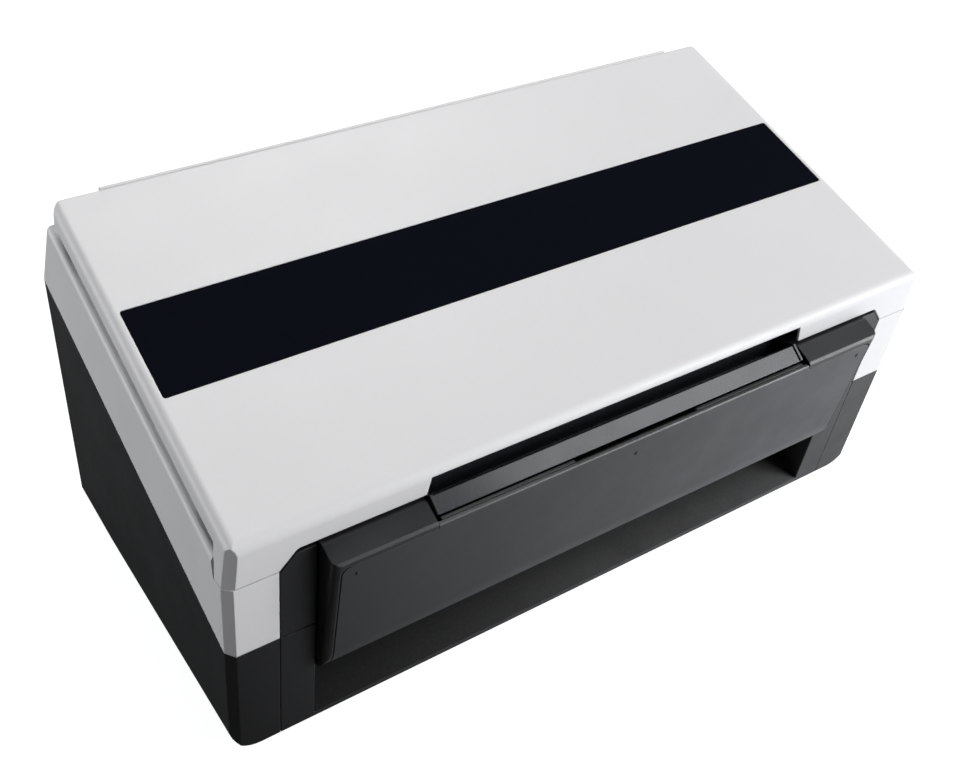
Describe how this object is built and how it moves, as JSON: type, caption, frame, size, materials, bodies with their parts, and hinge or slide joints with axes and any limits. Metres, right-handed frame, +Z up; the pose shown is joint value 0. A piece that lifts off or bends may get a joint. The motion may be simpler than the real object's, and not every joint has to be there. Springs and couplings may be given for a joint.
{
  "type": "sheet fed document scanner",
  "caption": "Closed sheet fed document scanner with a sloping white lid with a dark stripe, a black base, a dark front door and a fold-down output tray.",
  "frame": {"origin": "on the table, under the middle of the scanner's box", "axes": "+X to the scanner's right as seen by a person in front of it, +Y to the rear, +Z up"},
  "size_m": [0.316, 0.1994, 0.1674],
  "materials": {
    "shell_white": "fine satin",
    "casing_black": "fine satin",
    "door_dark_grey": "fine matte",
    "stripe_navy": "semi-gloss",
    "gloss_black": "gloss",
    "chassis_grey": "matte",
    "steel": "ground",
    "rubber": "matte",
    "glass": "polished",
    "board_green": "solder mask",
    "button_grey": "satin"
  },
  "bodies": {
    "casing": {"lower_casing": "casing_black", "base_plate": "chassis_grey", "front_bezel": "casing_black", "upper_shell": "shell_white", "left_side_frame": "casing_black", "right_side_frame": "casing_black", "foot_front_left": "rubber", "foot_front_right": "rubber", "foot_rear_left": "rubber", "foot_rear_right": "rubber", "lid_hinge_pin_left": "steel", "lid_hinge_pin_right": "steel", "door_pivot_pin_left": "steel", "door_pivot_pin_right": "steel", "lower_paper_guide": "chassis_grey", "lower_scan_glass": "glass", "lower_scan_module": "chassis_grey", "deck_cover": "door_dark_grey", "control_panel": "gloss_black", "display_window": "glass", "status_light": "glass", "drive_motor": "steel", "drive_belt": "rubber", "main_board": "board_green", "rear_jack_panel": "gloss_black", "usb_socket": "steel", "power_socket": "casing_black"},
    "lid": {"lid_cover": "shell_white", "lid_stripe": "stripe_navy", "lid_rear_trim": "shell_white", "tray_bed": "door_dark_grey"},
    "extension": {"tray_extension": "chassis_grey"},
    "guide_left": {"left_paper_guide": "door_dark_grey"},
    "guide_right": {"right_paper_guide": "door_dark_grey"},
    "pinion": {"guide_pinion": "button_grey"},
    "door": {"door_shell": "door_dark_grey", "door_grip": "gloss_black", "door_paper_guide": "chassis_grey", "upper_scan_glass": "glass", "upper_scan_module": "chassis_grey"},
    "idler": {"exit_idler_roller": "rubber"},
    "exit_tray": {"output_tray": "door_dark_grey", "tray_pivot_pin_left": "steel", "tray_pivot_pin_right": "steel"},
    "exit_tray_extension": {"output_tray_extension": "door_dark_grey"},
    "feed": {"feed_shaft": "steel", "feed_roller": "rubber", "feed_pulley": "button_grey"},
    "exit": {"exit_shaft": "steel", "exit_roller_left": "rubber", "exit_roller_right": "rubber", "exit_pulley": "button_grey"},
    "reverse": {"reverse_shaft": "steel", "reverse_roller": "rubber"},
    "motor": {"motor_pulley": "steel"},
    "power": {"power_button": "steel"},
    "scan": {"scan_button": "button_grey"},
    "up": {"function_up_button": "button_grey"},
    "down": {"function_down_button": "button_grey"}
  },
  "joints": [
    {"name": "lid_hinge", "type": "hinge", "parent": "casing", "child": "lid", "pos_m": [0, 0.05285, 0.16198], "axis": [-1, 0, 0], "range_deg": [0, 126]},
    {"name": "extension_slide", "type": "slide", "parent": "lid", "child": "extension", "axis": [0, -0.9364, -0.3509], "range_m": [0, 0.09]},
    {"name": "guide_slide", "type": "slide", "parent": "lid", "child": "guide_left", "axis": [1, 0, 0], "range_m": [0, 0.066]},
    {"name": "right_guide_slide", "type": "slide", "parent": "lid", "child": "guide_right", "axis": [1, 0, 0], "range_m": [-0.066, 0]},
    {"name": "pinion_spin", "type": "hinge", "parent": "lid", "child": "pinion", "pos_m": [0, 0.0351, 0.15521], "axis": [0, -0.3509, 0.9364], "range_deg": [0, 760]},
    {"name": "door_hinge", "type": "hinge", "parent": "casing", "child": "door", "pos_m": [0, -0.0741, 0.0415], "axis": [1, 0, 0], "range_deg": [0, 40]},
    {"name": "idler_spin", "type": "hinge", "parent": "door", "child": "idler", "pos_m": [0, -0.0428, 0.0498], "axis": [1, 0, 0], "continuous": true},
    {"name": "tray_hinge", "type": "hinge", "parent": "door", "child": "exit_tray", "pos_m": [0, -0.08122, 0.03892], "axis": [1, 0, 0], "range_deg": [0, 72]},
    {"name": "tray_extension_slide", "type": "slide", "parent": "exit_tray", "child": "exit_tray_extension", "axis": [0, -0.225, 0.9744], "range_m": [0, 0.036]},
    {"name": "feed_spin", "type": "hinge", "parent": "casing", "child": "feed", "pos_m": [0, 0.01934, 0.1026], "axis": [1, 0, 0], "continuous": true},
    {"name": "exit_spin", "type": "hinge", "parent": "casing", "child": "exit", "pos_m": [0, -0.0322, 0.0414], "axis": [1, 0, 0], "continuous": true},
    {"name": "motor_spin", "type": "hinge", "parent": "casing", "child": "motor", "pos_m": [0, 0.0379, 0.0375], "axis": [1, 0, 0], "continuous": true},
    {"name": "reverse_spin", "type": "hinge", "parent": "casing", "child": "reverse", "pos_m": [0, 0.00524, 0.11379], "axis": [1, 0, 0], "continuous": true},
    {"name": "up_press", "type": "slide", "parent": "casing", "child": "up", "axis": [0, 0.3509, -0.9364], "range_m": [0, 0.0008]},
    {"name": "down_press", "type": "slide", "parent": "casing", "child": "down", "axis": [0, 0.3509, -0.9364], "range_m": [0, 0.0008]},
    {"name": "scan_press", "type": "slide", "parent": "casing", "child": "scan", "axis": [0, 0.3509, -0.9364], "range_m": [0, 0.0008]},
    {"name": "power_press", "type": "slide", "parent": "casing", "child": "power", "axis": [0, 0.3509, -0.9364], "range_m": [0, 0.0008]}
  ],
  "couplings": [
    {"joint": "right_guide_slide", "follows": "guide_slide", "ratio": -1},
    {"joint": "pinion_spin", "follows": "guide_slide", "rad_per_m": 200},
    {"joint": "exit_spin", "follows": "feed_spin", "ratio": 1},
    {"joint": "motor_spin", "follows": "feed_spin", "ratio": 1.8}
  ]
}
